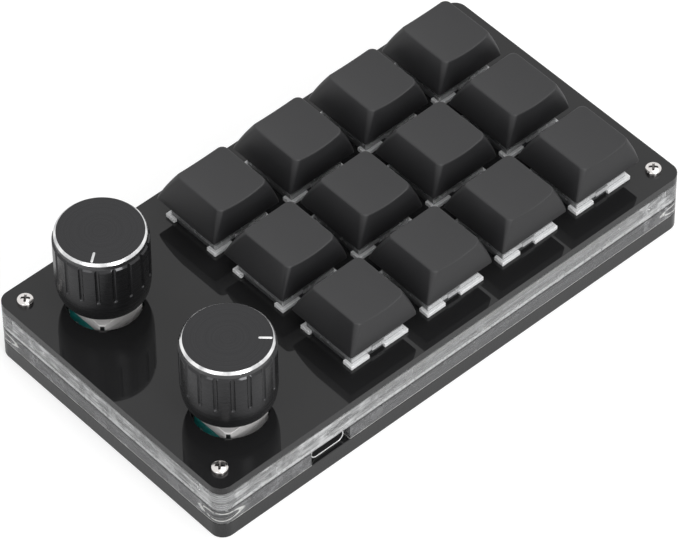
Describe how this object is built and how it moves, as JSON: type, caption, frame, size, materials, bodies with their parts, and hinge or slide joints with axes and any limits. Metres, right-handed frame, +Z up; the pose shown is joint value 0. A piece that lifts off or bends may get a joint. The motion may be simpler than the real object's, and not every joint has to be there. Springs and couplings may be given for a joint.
{
  "type": "macro keypad with knobs",
  "caption": "Macro keypad: a layered acrylic case with black keycaps on spring switches and grooved metal knobs that turn and press.",
  "frame": {"origin": "centre of the underside of the bottom plate", "axes": "+X along the long side from the knobs to the keys, +Z up out of the keys, -Y towards the side with the socket"},
  "size_m": [0.129, 0.07, 0.0368],
  "materials": {
    "black_acrylic": "polished black acrylic",
    "clear_acrylic": "clear acrylic, polished",
    "board": "dark solder resist",
    "chip": "moulded black epoxy",
    "board_parts": "small ceramic parts",
    "socket_metal": "drawn steel shell",
    "socket_tongue": "black plastic",
    "housing": "frosted clear plastic",
    "contact": "bare metal",
    "spring": "bare wire",
    "screw": "nickel plated",
    "insert": "bare brass",
    "pin": "tinned metal",
    "stem": "moulded plastic",
    "keycap": "fine matte texture",
    "teal_plastic": "moulded teal plastic",
    "bracket": "stamped plated steel",
    "plunger": "moulded plastic",
    "shaft": "turned metal",
    "core": "moulded plastic",
    "knob": "black anodised, turned top"
  },
  "bodies": {
    "case": {"top_plate": "black_acrylic", "upper_frame": "clear_acrylic", "lower_frame": "clear_acrylic", "bottom_plate": "black_acrylic", "circuit_board": "board", "controller_chip": "chip", "board_parts": "board_parts", "usb_shell": "socket_metal", "usb_tongue": "socket_tongue", "switch_bases": "housing", "switch_covers": "housing", "switch_contacts": "contact", "key_springs": "spring", "case_screws": "screw", "threaded_inserts": "insert", "encoder_pins": "pin", "encoder_body_front": "teal_plastic", "encoder_body_rear": "teal_plastic", "encoder_bracket_front": "bracket", "encoder_bracket_rear": "bracket"},
    "key_1": {"key_stem_1": "stem", "keycap_1": "keycap"},
    "key_2": {"key_stem_2": "stem", "keycap_2": "keycap"},
    "key_3": {"key_stem_3": "stem", "keycap_3": "keycap"},
    "key_4": {"key_stem_4": "stem", "keycap_4": "keycap"},
    "key_5": {"key_stem_5": "stem", "keycap_5": "keycap"},
    "key_6": {"key_stem_6": "stem", "keycap_6": "keycap"},
    "key_7": {"key_stem_7": "stem", "keycap_7": "keycap"},
    "key_8": {"key_stem_8": "stem", "keycap_8": "keycap"},
    "key_9": {"key_stem_9": "stem", "keycap_9": "keycap"},
    "key_10": {"key_stem_10": "stem", "keycap_10": "keycap"},
    "key_11": {"key_stem_11": "stem", "keycap_11": "keycap"},
    "key_12": {"key_stem_12": "stem", "keycap_12": "keycap"},
    "front_press": {"encoder_plunger_front": "plunger"},
    "front_knob": {"encoder_shaft_front": "shaft", "knob_core_front": "core", "knob_shell_front": "knob"},
    "rear_press": {"encoder_plunger_rear": "plunger"},
    "rear_knob": {"encoder_shaft_rear": "shaft", "knob_core_rear": "core", "knob_shell_rear": "knob"}
  },
  "joints": [
    {"name": "key_1_press", "type": "slide", "parent": "case", "child": "key_1", "axis": [0, 0, -1], "range_m": [0, 0.004], "stiffness_N_per_m": 75, "springref_m": -0.0047, "deforming": ["key_springs"]},
    {"name": "key_2_press", "type": "slide", "parent": "case", "child": "key_2", "axis": [0, 0, -1], "range_m": [0, 0.004], "stiffness_N_per_m": 75, "springref_m": -0.0047, "deforming": ["key_springs"]},
    {"name": "key_3_press", "type": "slide", "parent": "case", "child": "key_3", "axis": [0, 0, -1], "range_m": [0, 0.004], "stiffness_N_per_m": 75, "springref_m": -0.0047, "deforming": ["key_springs"]},
    {"name": "key_4_press", "type": "slide", "parent": "case", "child": "key_4", "axis": [0, 0, -1], "range_m": [0, 0.004], "stiffness_N_per_m": 75, "springref_m": -0.0047, "deforming": ["key_springs"]},
    {"name": "key_5_press", "type": "slide", "parent": "case", "child": "key_5", "axis": [0, 0, -1], "range_m": [0, 0.004], "stiffness_N_per_m": 75, "springref_m": -0.0047, "deforming": ["key_springs"]},
    {"name": "key_6_press", "type": "slide", "parent": "case", "child": "key_6", "axis": [0, 0, -1], "range_m": [0, 0.004], "stiffness_N_per_m": 75, "springref_m": -0.0047, "deforming": ["key_springs"]},
    {"name": "key_7_press", "type": "slide", "parent": "case", "child": "key_7", "axis": [0, 0, -1], "range_m": [0, 0.004], "stiffness_N_per_m": 75, "springref_m": -0.0047, "deforming": ["key_springs"]},
    {"name": "key_8_press", "type": "slide", "parent": "case", "child": "key_8", "axis": [0, 0, -1], "range_m": [0, 0.004], "stiffness_N_per_m": 75, "springref_m": -0.0047, "deforming": ["key_springs"]},
    {"name": "key_9_press", "type": "slide", "parent": "case", "child": "key_9", "axis": [0, 0, -1], "range_m": [0, 0.004], "stiffness_N_per_m": 75, "springref_m": -0.0047, "deforming": ["key_springs"]},
    {"name": "key_10_press", "type": "slide", "parent": "case", "child": "key_10", "axis": [0, 0, -1], "range_m": [0, 0.004], "stiffness_N_per_m": 75, "springref_m": -0.0047, "deforming": ["key_springs"]},
    {"name": "key_11_press", "type": "slide", "parent": "case", "child": "key_11", "axis": [0, 0, -1], "range_m": [0, 0.004], "stiffness_N_per_m": 75, "springref_m": -0.0047, "deforming": ["key_springs"]},
    {"name": "key_12_press", "type": "slide", "parent": "case", "child": "key_12", "axis": [0, 0, -1], "range_m": [0, 0.004], "stiffness_N_per_m": 75, "springref_m": -0.0047, "deforming": ["key_springs"]},
    {"name": "front_knob_press", "type": "slide", "parent": "case", "child": "front_press", "axis": [0, 0, -1], "range_m": [0, 0.0005], "stiffness_N_per_m": 4000, "springref_m": -0.0005},
    {"name": "front_knob_turn", "type": "hinge", "parent": "front_press", "child": "front_knob", "pos_m": [-0.0481, -0.0195, 0.0198], "axis": [0, 0, 1], "continuous": true},
    {"name": "rear_knob_press", "type": "slide", "parent": "case", "child": "rear_press", "axis": [0, 0, -1], "range_m": [0, 0.0005], "stiffness_N_per_m": 4000, "springref_m": -0.0005},
    {"name": "rear_knob_turn", "type": "hinge", "parent": "rear_press", "child": "rear_knob", "pos_m": [-0.0481, 0.0195, 0.0198], "axis": [0, 0, 1], "continuous": true}
  ]
}
